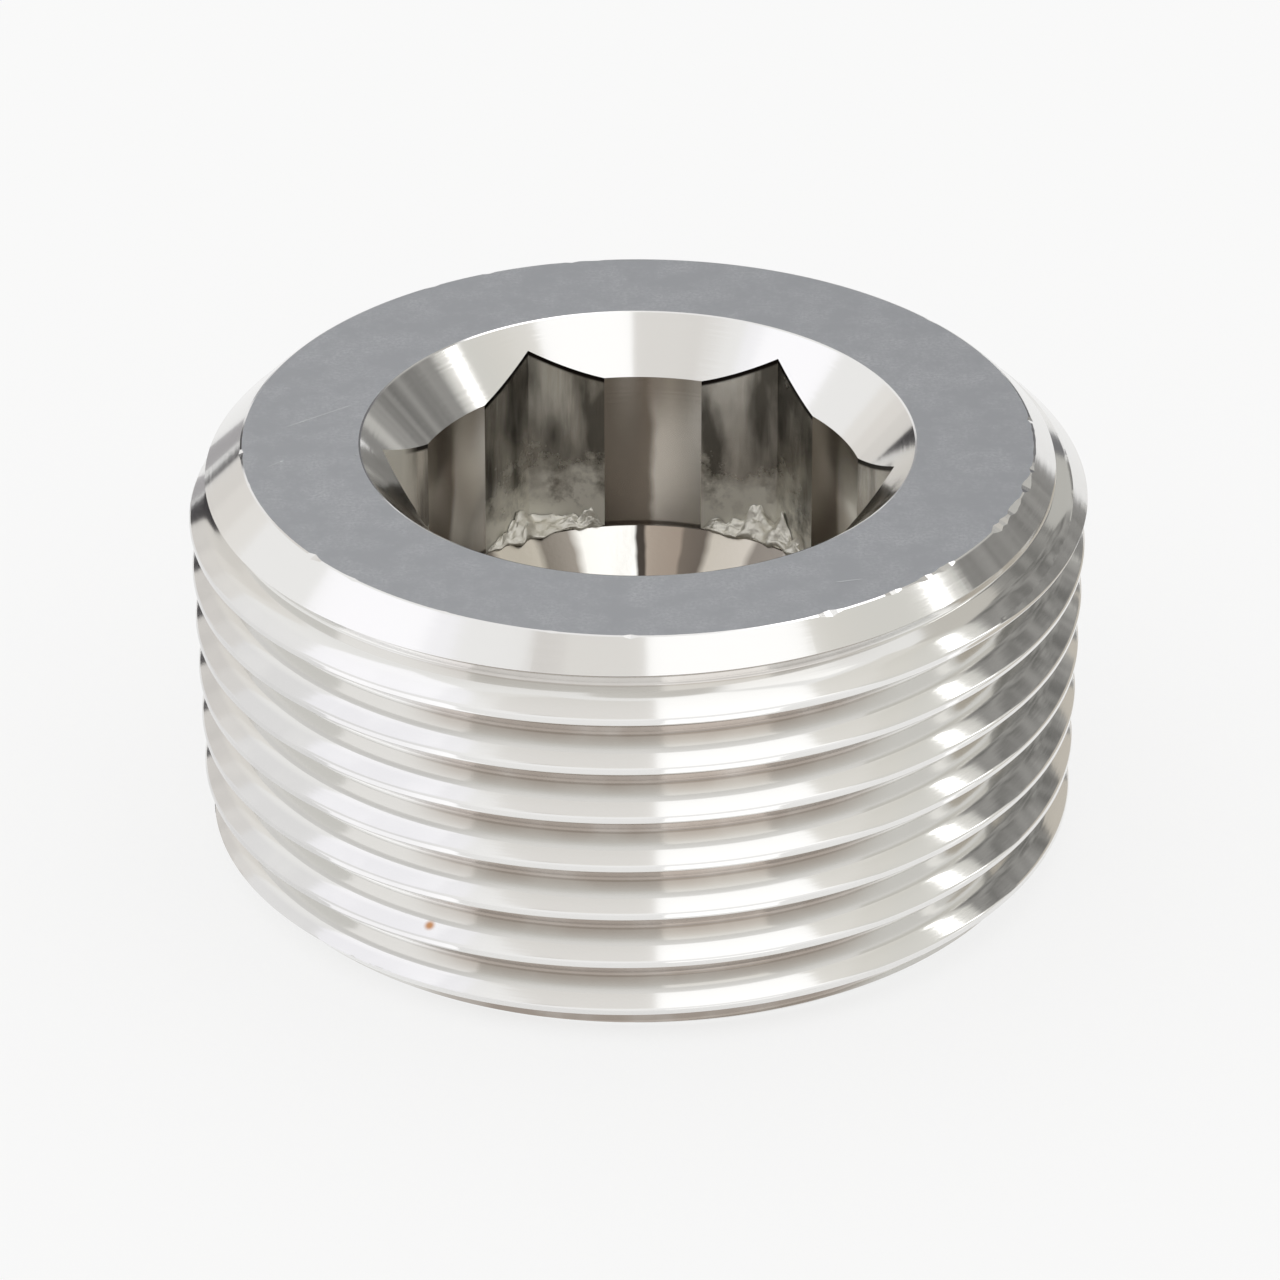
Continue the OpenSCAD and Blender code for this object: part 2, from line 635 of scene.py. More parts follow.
@dataclass(frozen=True)
class FacedFinish(SteelFinish):
    """An end face, faced and then tumbled: the eye sees a flat, slightly cloudy grey and a few scratches.

    Attributes:
        low_tone: sRGB hex code of the darker grains and clouds.
        cloud_ratio: How many times larger a cloud is than a grain.
        grain_range: Where in the noise a grain starts and ends.
        cloud_range: Where in the noise a cloud starts and ends.
        scratch_depth: How many times deeper a scratch is than the grain.
        scratch_half_mm: Half the width of a scratch.
        scratch_break_mm: Length of the waves that make a scratch deep and shallow in turn.
        scratches_mm: Both ends of each scratch on the large face, as X and Y.
    """

    low_tone: str = "#c8cacc"
    cloud_ratio: float = 10.0
    grain_range: tuple[float, float] = (0.36, 0.64)
    cloud_range: tuple[float, float] = (0.4, 0.95)
    scratch_depth: float = 14.0
    scratch_half_mm: float = 0.035
    scratch_break_mm: float = 0.455
    scratches_mm: tuple[tuple[float, float, float, float], ...] = (
        (-9.6, 0.6, -7.7, 2.0),
        (-7.6, -0.9, -7.4, -0.85),
        (-9.9, -1.6, -9.5, -1.2),
        (5.1, -7.9, 5.9, -7.7),
    )

    def tone(self, canvas: Canvas) -> Socket:
        """Mottle the steel between its two tones, in grains and then in clouds.

        Args:
            canvas: The material's canvas.

        Returns:
            The socket that holds the colour.
        """
        shares = []
        cloud_scale = self.mark_scale / self.cloud_ratio
        for scale, (low, high) in ((self.mark_scale, self.grain_range), (cloud_scale, self.cloud_range)):
            inputs = {"Vector": canvas.place, "Scale": 0.8 * scale, "Detail": 3.0, "Roughness": 0.7}
            shares.append(canvas.add("MapRange", {0: canvas.add("TexNoise", inputs), 1: high, 2: low}))
        return canvas.cover(linear_colour(self.colour), [(share, self.low_tone) for share in shares])

    def marks(self, canvas: Canvas) -> Socket:
        """Draw the grain, and cut the scratches into it.

        Args:
            canvas: The material's canvas.

        Returns:
            The socket that holds the height, in heights of a mark.
        """
        height = super().marks(canvas)
        for ends in self.scratches_mm:
            inputs = {0: self.scratch(canvas, ends), 1: -self.scratch_depth, 2: height}
            height = canvas.add("Math", inputs, operation="MULTIPLY_ADD")
        return height

    def scratch(self, canvas: Canvas, ends: tuple[float, float, float, float]) -> Socket:
        """Draw one fine scratch that fades at both ends.

        Args:
            canvas: The material's canvas.
            ends: X and Y of both ends, in millimetres.

        Returns:
            The socket that holds up to 1 in the scratch and 0 beside it.
        """
        start, end = Vector((ends[0], ends[1], 0)), Vector((ends[2], ends[3], 0))
        middle, run = (start + end) / 2, end - start
        along = run.normalized()
        away = canvas.add("VectorMath", {0: canvas.place, 1: tuple(middle * MM)}, operation="SUBTRACT")
        ramps = []
        across = Vector((-along.y, along.x, 0))
        for way, half in ((across, self.scratch_half_mm), (along, run.length / 2)):
            inputs = {0: away, 1: tuple(way / MM)}
            distance = canvas.add("VectorMath", inputs, "Value", operation="DOT_PRODUCT")
            size = canvas.add("Math", {0: distance}, operation="ABSOLUTE")
            ramps.append((size, 0.5 * half, half, 1.0, 0.0))
        inputs = {"Vector": canvas.place, "Scale": 1 / (self.scratch_break_mm * MM), "Detail": 1.0}
        depth = canvas.add("TexNoise", inputs)
        return canvas.add("Math", {0: canvas.overlap(ramps), 1: depth}, operation="MULTIPLY")


@dataclass(frozen=True)
class TurnedFinish(SteelFinish):
    """A turned cone: fine rings of feed marks and a slow waviness, which streak its bright reflections."""

    wave_height: float = 1.4

    def fine_marks(self, canvas: Canvas) -> Socket:
        """Draw the rings."""
        inputs = {"W": canvas.radius(), "Scale": self.mark_scale, "Detail": 1.0}
        return canvas.add("TexNoise", inputs, noise_dimensions="1D")


@dataclass(frozen=True, kw_only=True)
class ThreadFinish(TurnedFinish):
    """A cut thread, with painted shade towards the roots, in the roots on one side and near the crests on
    another.

    Attributes:
        sizes: The plug's sizes, which place the roots.
        painted_root_shade: sRGB hex code of the painted shade at the foot of a flank.
        painted_side_shade: sRGB hex code of the painted shade in the roots on one side.
        painted_shade_band: sRGB hex code of the darkest painted shade in the very root.
        painted_crest_shade: sRGB hex code of the painted shade near the crests on another side, which dims
            their reflection.
        painted_side_shade_deg: Angle round the axis of the side where the shade in the roots is painted.
        painted_crest_shade_side_deg: Angle round the axis of the side where the shade near the crests is
            painted.
        painted_shade_fade_mm: How far below the large face the painted shade is at its faintest.
        painted_shade_fade_run_mm: Height over which it fades up to there.
        painted_shade_facing: Cosines of the angles from a painted shade's side at which it ends and at
            which it is full.
        painted_shade_patch_mm: Size of the painted shade's uneven patches.
        speck: sRGB hex code of one speck of rust on the lower thread.
        speck_mm: Where the speck is.
        speck_radius_mm: Its radius.
        painted_root_shade_depths: How deep in the thread, from 0 to 1, the painted shade at the foot starts
            and is full.
        painted_crest_shade_depths: The same for the painted shade near the crests.
        painted_side_shade_depths: The same for the painted shade in the roots.
        painted_shade_band_depths: The same for the darkest painted shade, in the very root.
    """

    sizes: PlugSizes
    painted_root_shade: str = "#e3e2df"
    painted_side_shade: str = "#cdc8c2"
    painted_shade_band: str = "#a89e95"
    painted_crest_shade: str = "#dad9d8"
    painted_side_shade_deg: float = -88.0
    painted_crest_shade_side_deg: float = -145.0
    painted_shade_fade_mm: float = 1.5
    painted_shade_fade_run_mm: float = 0.8
    painted_shade_facing: tuple[float, float] = (0.8, 0.93)
    painted_shade_patch_mm: float = 1.538
    speck: str = "#b0763c"
    speck_mm: Point = (-5.5, -10.2, 2.62)
    speck_radius_mm: float = 0.2
    painted_root_shade_depths: tuple[float, float] = (0.08, 0.75)
    painted_crest_shade_depths: tuple[float, float] = (0.55, 0.35)
    painted_side_shade_depths: tuple[float, float] = (0.45, 0.95)
    painted_shade_band_depths: tuple[float, float] = (0.9, 0.99)

    def depth_share(self, canvas: Canvas) -> Socket:
        """Measure how deep in the thread a point lies, from 0 on a crest to 1 at a root.

        Args:
            canvas: The material's canvas.

        Returns:
            The socket that holds the depth.
        """
        sizes = self.sizes
        inputs = {0: canvas.along("Z"), 1: 0.5 / sizes.taper_length, 2: sizes.crest_r(0.0) * MM}
        crest = canvas.add("Math", inputs, operation="MULTIPLY_ADD")
        inset = canvas.add("Math", {0: crest, 1: canvas.radius()}, operation="SUBTRACT")
        return canvas.add("Math", {0: inset, 1: ThreadForm(sizes.pitch).depth * MM}, operation="DIVIDE")

    def painted_shade_share(
        self, canvas: Canvas, depth: Socket, reach: tuple[float, float], side_deg: float
    ) -> Socket:
        """Lay painted shade along the thread on one side of the plug.

        Args:
            canvas: The material's canvas.
            depth: How deep in the thread a point lies.
            reach: The depths at which the painted shade starts and is full.
            side_deg: Angle round the axis of the side where it lies.

        Returns:
            The socket that holds how much of the painted shade's colour shows.
        """
        side = math.radians(side_deg)
        outward = canvas.add("VectorMath", {0: canvas.outward()}, operation="NORMALIZE")
        inputs = {0: outward, 1: (math.cos(side), math.sin(side), 0.0)}
        facing = canvas.add("VectorMath", inputs, "Value", operation="DOT_PRODUCT")
        inputs = {"Vector": canvas.place, "Scale": 1 / (self.painted_shade_patch_mm * MM), "Detail": 3.0}
        top = self.sizes.body_length - self.painted_shade_fade_mm
        # Painted shade: deep in the thread, facing one side, fading near the large face, in uneven patches.
        return canvas.overlap(
            (
                (depth, *reach, 0.0, 1.0),
                (facing, *self.painted_shade_facing, 0.0, 1.0),
                (canvas.along("Z"), (top - self.painted_shade_fade_run_mm) * MM, top * MM, 1.0, 0.35),
                (canvas.add("TexNoise", inputs), 0.3, 0.6, 0.7, 1.0),
            )
        )

    def tone(self, canvas: Canvas) -> Socket:
        """Paint shade towards the roots and on two sides, then lay the speck of rust over it.

        Args:
            canvas: The material's canvas.

        Returns:
            The socket that holds the colour.
        """
        depth = self.depth_share(canvas)
        speck = tuple(v * MM for v in self.speck_mm)
        away = canvas.add("VectorMath", {0: canvas.place, 1: speck}, "Value", operation="DISTANCE")
        edge = self.speck_radius_mm * MM
        # The first four layers are painted shade: towards the roots, near the crests on one side, and in
        # the roots on another, darkest in the very root. The last is a speck of rust.
        layers = (
            (canvas.overlap([(depth, *self.painted_root_shade_depths, 0.0, 1.0)]), self.painted_root_shade),
            (self.painted_shade_share(canvas, depth, self.painted_crest_shade_depths, self.painted_crest_shade_side_deg), self.painted_crest_shade),
            (self.painted_shade_share(canvas, depth, self.painted_side_shade_depths, self.painted_side_shade_deg), self.painted_side_shade),
            (self.painted_shade_share(canvas, depth, self.painted_shade_band_depths, self.painted_side_shade_deg), self.painted_shade_band),
            (canvas.overlap([(away, 0.2 * edge, edge, 0.9, 0.0)]), self.speck),
        )
        return canvas.cover(linear_colour(self.colour), layers)


@dataclass(frozen=True, kw_only=True)
class BroachedFinish(SteelFinish):
    """A broached wall: strokes of the broach straight down it, with dark smears and torn steel clinging on.

    Attributes:
        sizes: The plug's sizes, which place the countersink's edge.
        smear: sRGB hex code of the smeared steel.
        swarf: sRGB hex code of the fine torn steel that clings to the wall above the ledge.
        painted_edge_shade: sRGB hex code of the narrow painted shade just under the countersink.
        painted_edge_shade_mm: How far below the countersink the painted shade starts to fade, and how far
            down it has gone.
        dusty_mm: Right of this place on the X axis the walls are clean.
        dusty_edge_mm: How much further left the wall is dusty and has no painted shade under the
            countersink.
        stroke_ratio: How many times longer a stroke is than it is wide.
        smear_mm: Width of the smears.
        smear_height_mm: Height of the smears.
        swarf_mm: Size of the scraps of torn steel.
        swarf_top_mm: Height above the ledge at which they thin out.
        swarf_roughness: Their roughness.
    """

    wave_mm: float = 2.381
    wave_height: float = 4.0
    sizes: PlugSizes
    smear: str = "#716f6a"
    swarf: str = "#f4f2ea"
    painted_edge_shade: str = "#1d1917"
    painted_edge_shade_mm: tuple[float, float] = (0.1, 0.19)
    dusty_mm: float = -6.0
    dusty_edge_mm: float = 0.35
    stroke_ratio: float = 18.0
    smear_mm: float = 1.111
    smear_height_mm: float = 3.846
    swarf_mm: float = 1.613
    swarf_top_mm: float = 2.9
    swarf_roughness: float = 0.6

    def streaks(self, canvas: Canvas, wide_mm: float, long_mm: float, detail: float) -> Socket:
        """Draw noise that is stretched along the axis.

        Args:
            canvas: The material's canvas.
            wide_mm: Width of the streaks.
            long_mm: Length of the streaks.
            detail: How many finer streaks lie on them.

        Returns:
            The socket that holds the noise, from 0 to 1.
        """
        across, down = 1 / (wide_mm * MM), 1 / (long_mm * MM)
        stretched = canvas.add("Mapping", {"Vector": canvas.place, "Scale": (across, across, down)})
        return canvas.add("TexNoise", {"Vector": stretched, "Scale": 1.0, "Detail": detail})

    def fine_marks(self, canvas: Canvas) -> Socket:
        """Draw the strokes."""
        return self.streaks(canvas, self.mark_mm, self.mark_mm * self.stroke_ratio, 2.0)

    def clean_share(self, canvas: Canvas) -> Socket:
        """Tell the clean walls, which are 1, from the dusty one on the left."""
        dusty, clean = (self.dusty_mm - self.dusty_edge_mm) * MM, self.dusty_mm * MM
        return canvas.add("MapRange", {0: canvas.along("X"), 1: dusty, 2: clean})

    def swarf_share(self, canvas: Canvas) -> Socket:
        """Scatter torn steel over the walls, more of it low down, and all over the dusty wall.

        Args:
            canvas: The material's canvas.

        Returns:
            The socket that holds 1 on torn steel and 0 on the bare wall.
        """
        scale = 1 / (self.swarf_mm * MM)
        inputs = {"Vector": canvas.place, "Scale": scale, "Detail": 5.0, "Roughness": 0.7}
        torn = canvas.add("TexNoise", inputs)
        low, high = ((self.sizes.key_floor_z + rise) * MM for rise in (0.2, self.swarf_top_mm))
        low_down = canvas.add("MapRange", {0: canvas.along("Z"), 1: low, 2: high, 3: 0.32, 4: -0.08})
        clings = canvas.add("Math", {0: torn, 1: low_down}, operation="ADD")
        clung = canvas.add("MapRange", {0: clings, 1: 0.56, 2: 0.74})
        inputs = {0: self.clean_share(canvas), 1: -0.9, 2: 0.9}
        dusty = canvas.add("Math", inputs, operation="MULTIPLY_ADD", use_clamp=True)
        return canvas.add("Math", {0: clung, 1: dusty}, operation="MAXIMUM")

    def dullness(self, canvas: Canvas) -> Socket:
        """Make the torn steel rougher than the wall."""
        inputs = {0: self.swarf_share(canvas), 3: self.roughness, 4: self.swarf_roughness}
        return canvas.add("MapRange", inputs)

    def tone(self, canvas: Canvas) -> Socket:
        """Lay smears and torn steel over the wall, and a narrow painted shade under the countersink.

        Args:
            canvas: The material's canvas.

        Returns:
            The socket that holds the colour.
        """
        sizes = self.sizes
        smears = self.streaks(canvas, self.smear_mm, self.smear_height_mm, 4.0)
        # Painted shade: a narrow dark band on the clean walls just under the countersink's edge.
        sink_apex_z = (sizes.body_length - sizes.sink_r) * MM
        edge = canvas.add("Math", {0: canvas.radius(), 1: sink_apex_z}, operation="ADD")
        below = canvas.add("Math", {0: edge, 1: canvas.along("Z")}, operation="SUBTRACT")
        painted_shade_band = canvas.overlap([(below, self.painted_edge_shade_mm[0] * MM, self.painted_edge_shade_mm[1] * MM, 1.0, 0.0)])
        layers = (
            (canvas.add("MapRange", {0: smears, 1: 0.42, 2: 0.62}), self.smear),
            (self.swarf_share(canvas), self.swarf),
            (canvas.add("Math", {0: painted_shade_band, 1: self.clean_share(canvas)}, operation="MULTIPLY"), self.painted_edge_shade),
        )
        return canvas.cover(linear_colour(self.colour), layers)


@dataclass(frozen=True, kw_only=True)
class DrilledFinish(SteelFinish):
    """A drilled hole: rings of the drill's lips, with painted highlights in bands and painted shade beside
    them and near the top.

    Attributes:
        sizes: The plug's sizes, which place the bands.
        painted_shade_tone: sRGB hex code of the painted shade beside the painted highlights and near the
            top.
        end_mark: sRGB hex code of the ring where the broach stopped.
        sway_mm: Length of the waves in which the bands' edges waver.
        painted_highlight_shift_deg: How far the painted highlight's edge lies from the middle between two
            flats.
        painted_shade_depths_mm: Depths below the large face at which, going up, the painted shade starts
            and is darkest.
    """

    wave_mm: float = 2.0
    wave_height: float = 6.0
    wave_detail: float = 1.0
    sizes: PlugSizes
    painted_shade_tone: str = "#9b948c"
    end_mark: str = "#4e433d"
    sway_mm: float = 3.03
    painted_highlight_shift_deg: float = 4.5
    painted_shade_depths_mm: tuple[float, float] = (3.4, 1.4)

    def fine_marks(self, canvas: Canvas) -> Socket:
        """Draw the rings down the wall.

        Args:
            canvas: The material's canvas.

        Returns:
            The socket that holds their height, from 0 to 1.
        """
        along = canvas.add("Math", {0: canvas.radius(), 1: canvas.along("Z")}, operation="ADD")
        inputs = {"W": along, "Scale": self.mark_scale, "Detail": 2.0}
        return canvas.add("TexNoise", inputs, noise_dimensions="1D")

    def tone(self, canvas: Canvas) -> Socket:
        """Paint a highlight on one half of each band between two flats, paint shade near the top, and mark
        where the broach stopped.

        Args:
            canvas: The material's canvas.

        Returns:
            The socket that holds the colour.
        """
        sizes = self.sizes
        middle = math.radians(sizes.key_corner_angle + 30 + self.painted_highlight_shift_deg)
        half_band = math.radians(30)
        angle = canvas.wavering_angle(self.sway_mm, 3.0, 9.0)
        from_middle = canvas.add("Math", {0: angle, 1: middle}, operation="SUBTRACT")
        turned = canvas.add("Math", {0: from_middle, 1: -half_band, 2: half_band}, operation="WRAP")
        # Painted highlight on one half of each band; the other half keeps the painted shade.
        painted_highlight = canvas.overlap([(turned, math.radians(-1.2), math.radians(1.6), 1.0, 0.0)])
        z = canvas.along("Z")
        low, high = ((sizes.body_length - depth) * MM for depth in self.painted_shade_depths_mm)
        inputs = {"Vector": canvas.place, "Scale": 1 / (self.sway_mm * MM), "Detail": 3.0}
        waves = canvas.add("TexNoise", inputs)
        height = canvas.add("Math", {0: waves, 1: 0.12 * MM, 2: z}, operation="MULTIPLY_ADD")
        offset = canvas.add("Math", {0: height, 1: (sizes.key_floor_z + 0.12) * MM}, operation="SUBTRACT")
        distance = canvas.add("Math", {0: offset}, operation="ABSOLUTE")
        layers = (
            (painted_highlight, self.colour),
            (canvas.overlap([(z, low, high, 0.0, 0.75)]), self.painted_shade_tone),
            (canvas.overlap([(distance, 0.03 * MM, 0.1 * MM, 0.8, 0.0)]), self.end_mark),
        )
        return canvas.cover(linear_colour(self.painted_shade_tone), layers)


@dataclass(frozen=True)
class PressedFinish(SteelFinish):
    """Chips that the broach pressed flat, with painted highlights and painted shade in turn round the hole.

    Attributes:
        start_deg: Angle round the axis at which the bands start, which then repeat every sixth of a turn.
        sway_mm: Length of the waves in which the bands' edges waver.
        bands: Painted highlight or painted shade at each place in a sixth of a turn.
    """

    start_deg: float = 0.0
    sway_mm: float = 1.111
    # Painted highlights and painted shade round the pressed chips, not colours of the steel.
    bands: tuple[tuple[float, str], ...] = (
        (0.0, "#cdc6ba"),
        (0.17, "#cdc6ba"),
        (0.21, "#6f675f"),
        (0.3, "#7d746b"),
        (0.32, "#a99c90"),
        (0.47, "#b0a498"),
        (0.485, "#49433e"),
        (0.515, "#49433e"),
        (0.53, "#fbfaf6"),
        (0.77, "#f4f2ec"),
        (0.82, "#958e85"),
        (0.96, "#8b847b"),
        (1.0, "#cdc6ba"),
    )

    def tone(self, canvas: Canvas) -> Socket:
        """Paint the bands of highlight and shade, with edges that waver a little.

        Args:
            canvas: The material's canvas.

        Returns:
            The socket that holds the colour.
        """
        start = math.radians(self.start_deg)
        end = start + math.pi / 3
        angle = canvas.wavering_angle(self.sway_mm, 2.0, 2.5)
        turned = canvas.add("Math", {0: angle, 1: start, 2: end}, operation="WRAP")
        tone = canvas.add("ValToRGB", {"Fac": canvas.add("MapRange", {0: turned, 1: start, 2: end})})
        stops = tone.node.color_ramp.elements
        for place, colour in self.bands[1:-1]:
            stops.new(place).color = linear_colour(colour)
        stops[0].color = linear_colour(self.bands[0][1])
        stops[-1].color = linear_colour(self.bands[-1][1])
        return tone


@dataclass
class PlugBody:
    """The plug: threaded outside, chamfered at both ends, with a broached and countersunk socket.

    Attributes:
        sizes: The plug's sizes.
        finishes: The finish of each surface.
        columns: Steps round the axis.
        spare_turns: Whole turns of thread beyond each end, which the outline cuts off.
        knocked_deg: Angle round the axis at which the large face's rim was knocked most.
        knocked_spread_deg: How far round the rim those nicks spread.
        nick_waves: How closely the nicks follow each other.
        nick_start: How high the noise has to be for a nick away from there.
        nick_gain: How much lower it may be where the rim was knocked most.
        nick_slope_mm: How much deeper a nick gets with the noise.
        nick_max_mm: How deep a nick is at most.
    """

    sizes: PlugSizes
    finishes: dict[Surface, SteelFinish]
    columns: int = 360
    spare_turns: int = 2
    knocked_deg: float = -20.0
    knocked_spread_deg: float = 24.0
    nick_waves: float = 22.0
    nick_start: float = 0.4
    nick_gain: float = 0.62
    nick_slope_mm: float = 0.17
    nick_max_mm: float = 0.14

    def build(self) -> bpy.types.Object:
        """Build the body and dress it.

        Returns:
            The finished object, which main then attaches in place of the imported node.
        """
        made = {finish: finish.material() for finish in self.finishes.values()}
        materials = [made[self.finishes[surface]] for surface in Surface]
        blank = self.outline().to_object("plug_outline", materials)
        for tool in (self.pilot_hole(), self.hexagon(), self.countersink()):
            combine(blank, tool.to_object("socket_tool", materials), "DIFFERENCE")
        body = self.threaded_bar().to_object("plug_body_turned", materials)
        combine(body, blank, "INTERSECT")
        self.set_normals(body)
        return body

    def threaded_bar(self) -> Mesh:
        """A tapered bar with the thread all along it, longer than the plug at both ends.

        Returns:
            The solid, in millimetres.
        """
        sizes, form = self.sizes, ThreadForm(self.sizes.pitch)
        knots = form.knots()
        per_turn = len(knots)
        turns = math.ceil(sizes.body_length / sizes.pitch) + 2 * self.spare_turns - 1
        top = turns * per_turn
        bar = Mesh()
        for column in range(self.columns):
            share = column / self.columns
            angle = math.radians(360 * share + sizes.thread_start)
            for knot in range(top + 1):
                turn, place = divmod(knot, per_turn)
                offset = knots[place]
                z = (turn + share - self.spare_turns) * sizes.pitch + offset
                inset, _ = form.inset(offset if offset <= sizes.pitch / 2 else offset - sizes.pitch)
                r = sizes.crest_r(z) - inset
                bar.points.append((r * math.cos(angle), r * math.sin(angle), z))
        height = top + 1

        def at(knot: int, column: int) -> int:
            """Place of a knot, where a whole turn of columns comes back one pitch higher.

            Args:
                knot: Number of the knot, from the foot of the column up.
                column: Number of the column.

            Returns:
                Its place in the list of points.
            """
            if column == self.columns:
                return knot + per_turn
            return column * height + knot

        for column in range(self.columns):
            last = top - (per_turn if column == self.columns - 1 else 0)
            for knot in range(last):
                low, high = at(knot, column), at(knot + 1, column)
                bar.add_face((low, at(knot, column + 1), at(knot + 1, column + 1), high), Surface.THREAD)
        foot = len(bar.points)
        margin = (self.spare_turns + 2) * sizes.pitch
        bar.points += [(0.0, 0.0, -margin), (0.0, 0.0, sizes.body_length + margin)]
        foot_rim = [at(0, column) for column in range(self.columns)]
        foot_rim += [at(knot, 0) for knot in range(per_turn, 0, -1)]
        head_rim = [at(top, column) for column in range(self.columns)]
        head_rim += [at(top - down, self.columns - 1) for down in range(1, per_turn + 1)]
        for place, corner in enumerate(foot_rim):
            bar.add_face((foot, foot_rim[(place + 1) % len(foot_rim)], corner), Surface.THREAD)
        for place, corner in enumerate(head_rim):
            bar.add_face((foot + 1, corner, head_rim[(place + 1) % len(head_rim)]), Surface.THREAD)
        return bar

    def outline(self) -> Mesh:
        """What turning leaves of the bar: both faces, both chamfers and their broken edges.

        Returns:
            The solid, in millimetres.
        """
        sizes = self.sizes
        clear_r = sizes.major_d / 2 + 1
        top = sizes.body_length

        def profile_at(angle: float) -> Profile:
            """The outline's profile at an angle, with the rim's break there.

            Args:
                angle: Angle round the axis, in radians.

            Returns:
                Its points from the bottom up.
            """
            half = sizes.rim_round / 2 + self.nick(angle)
            slant = half * math.sqrt(0.5)
            return [
                (0, 0, Surface.SMALL_FACE),
                (sizes.small_face_r - half, 0, Surface.RIM),
                (sizes.small_face_r + slant, slant, Surface.SMALL_CHAMFER),
                (clear_r, clear_r - sizes.small_face_r, Surface.THREAD),
                (clear_r, top - (clear_r - sizes.large_face_r), Surface.LARGE_CHAMFER),
                (sizes.large_face_r + slant, top - slant, Surface.RIM),
                (sizes.large_face_r - half, top, Surface.LARGE_FACE),
                (0, top, Surface.LARGE_FACE),
            ]

        return revolve(profile_at, self.columns)

    def nick(self, angle: float) -> float:
        """How much wider the rim is broken where it was knocked, in millimetres.

        Args:
            angle: Angle round the axis, in radians.

        Returns:
            Nothing for most of the rim, and the depth of the nick elsewhere.
        """
        from_middle = (math.degrees(angle) - self.knocked_deg + 180) % 360 - 180
        knocked = math.exp(-((from_middle / self.knocked_spread_deg) ** 2))
        spot = Vector((math.cos(angle), math.sin(angle), 0.4)) * self.nick_waves
        wander = noise.fractal(spot, 1.0, 2.0, 3)
        over = max(0.0, wander - self.nick_start + self.nick_gain * knocked)
        return min(self.nick_max_mm, over * self.nick_slope_mm)

    def pilot_hole(self) -> Mesh:
        """The hole drilled before broaching, with its drill point.

        Returns:
            The solid, in millimetres.
        """
        sizes = self.sizes
        over = sizes.body_length + 1
        profile = [
            (0, sizes.drill_tip_z, Surface.DRILL_POINT),
            (sizes.pilot_d / 2, sizes.pilot_floor_z, Surface.PILOT_WALL),
            (sizes.pilot_d / 2, over, Surface.PILOT_WALL),
            (0, over, Surface.PILOT_WALL),
        ]
        return revolve(lambda angle: profile, self.columns)

    def countersink(self) -> Mesh:
        """The countersink that leads the key in, with its broken edge.

        Returns:
            The solid, in millimetres.
        """
        sizes = self.sizes
        top = sizes.body_length
        half = sizes.rim_round / 2
        slant = half * math.sqrt(0.5)
        profile = [
            (0, top - sizes.sink_r, Surface.COUNTERSINK),
            (sizes.sink_r - slant, top - slant, Surface.RIM),
            (sizes.sink_r + half, top, Surface.RIM),
            (sizes.sink_r + half, top + 1, Surface.RIM),
            (0, top + 1, Surface.RIM),
        ]
        return revolve(lambda angle: profile, self.columns)

    def hexagon(self) -> Mesh:
        """The broached hexagon, from above the large face down to the ledge where the broach stopped.

        Returns:
            The solid, in millimetres.
        """
        sizes = self.sizes
        prism = Mesh()
        for z in (sizes.key_floor_z, sizes.body_length + 1):
            for corner in range(6):
                angle = math.radians(sizes.key_corner_angle + 60 * corner)
                x, y = sizes.key_corner_r * math.cos(angle), sizes.key_corner_r * math.sin(angle)
                prism.points.append((x, y, z))
        prism.add_face(range(5, -1, -1), Surface.HEXAGON_LEDGE)
        prism.add_face(range(6, 12), Surface.HEXAGON_WALL)
        for corner in range(6):
            after = (corner + 1) % 6
            prism.add_face((corner, after, after + 6, corner + 6), Surface.HEXAGON_WALL)
        return prism

    def set_normals(self, body: bpy.types.Object) -> None:
        """Give every corner the true surface's normal, so that no facet shows in a reflection.

        Args:
            body: The finished body.
        """
        sizes, form = self.sizes, ThreadForm(self.sizes.pitch)
        growth = 1 / sizes.taper_length / 2
        drill_slope = math.radians(sizes.drill_point_angle / 2)
        leans = {
            Surface.SMALL_CHAMFER: (math.sqrt(0.5), -math.sqrt(0.5)),
            Surface.LARGE_CHAMFER: (math.sqrt(0.5), math.sqrt(0.5)),
            Surface.COUNTERSINK: (-math.sqrt(0.5), math.sqrt(0.5)),
            Surface.PILOT_WALL: (-1.0, 0.0),
            Surface.DRILL_POINT: (-math.cos(drill_slope), math.sin(drill_slope)),
        }

        def true_normal(surface: Surface, point: Vector, flat: Vector) -> Vector:
            """Normal of the surface that a corner belongs to.

            Args:
                surface: The surface.
                point: The corner, in metres.
                flat: Normal of the face, which a flat surface keeps.

            Returns:
                The normal, of length 1.
            """
            r = math.hypot(point.x, point.y)
            if r < 1e-9 or surface not in leans and surface is not Surface.THREAD:
                return flat
            outward = Vector((point.x / r, point.y / r, 0))
            if surface is not Surface.THREAD:
                across, along = leans[surface]
                return outward * across + Vector((0, 0, along))
            turn = (math.degrees(math.atan2(point.y, point.x)) - sizes.thread_start) / 360
            offset = (point.z / MM - turn * sizes.pitch + sizes.pitch / 2) % sizes.pitch - sizes.pitch / 2
            _, slope = form.inset(offset)
            sideways = Vector((-outward.y, outward.x, 0))
            lead = slope * sizes.pitch / (2 * math.pi * r / MM)
            return (outward - sideways * lead + Vector((0, 0, slope - growth))).normalized()

        data = body.data
        surfaces = list(Surface)
        points = [vertex.co.copy() for vertex in data.vertices]
        normals = []
        for face in data.polygons:
            surface = surfaces[face.material_index]
            flat = face.normal.copy()
            normals += [true_normal(surface, points[v], flat) for v in face.vertices]
        data.polygons.foreach_set("use_smooth", [True] * len(data.polygons))
        data.normals_split_custom_set(normals)
        data.update()


